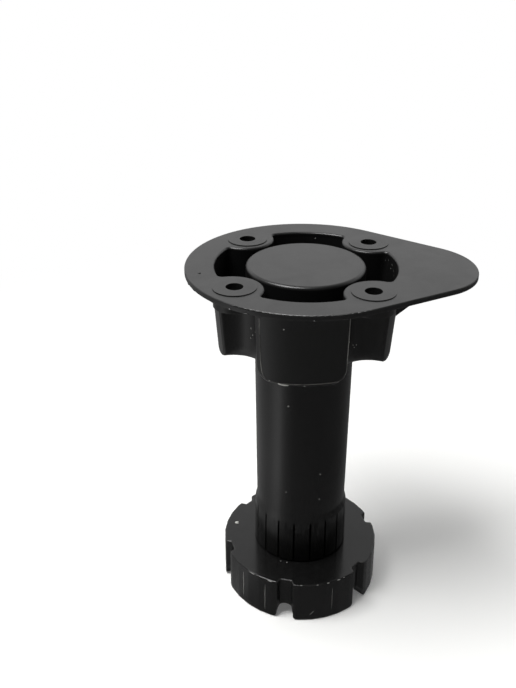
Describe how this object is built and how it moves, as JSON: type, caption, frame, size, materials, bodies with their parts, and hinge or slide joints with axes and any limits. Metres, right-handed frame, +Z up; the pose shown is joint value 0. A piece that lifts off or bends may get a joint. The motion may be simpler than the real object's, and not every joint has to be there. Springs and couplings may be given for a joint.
{
  "type": "adjustable cabinet leg",
  "caption": "Black plastic cabinet leg: a teardrop mounting plate with a lobed socket, a round tube and a notched levelling foot that screws in and out.",
  "frame": {"origin": "centre of the foot's underside, on the floor, with the foot screwed fully in", "axes": "+Z up along the leg's axis, +X towards the tail of the teardrop plate"},
  "size_m": [0.072, 0.06, 0.095],
  "materials": {
    "socket_plastic": "satin black moulded plastic",
    "tube_plastic": "smooth black moulded plastic",
    "foot_plastic": "satin black moulded plastic"
  },
  "bodies": {
    "foot": {"levelling_foot": "foot_plastic"},
    "leg": {"mounting_socket": "socket_plastic", "leg_tube": "tube_plastic"}
  },
  "joints": [
    {"name": "foot_height", "type": "slide", "parent": "foot", "child": "leg", "axis": [0, 0, 1], "range_m": [0, 0.02]}
  ]
}
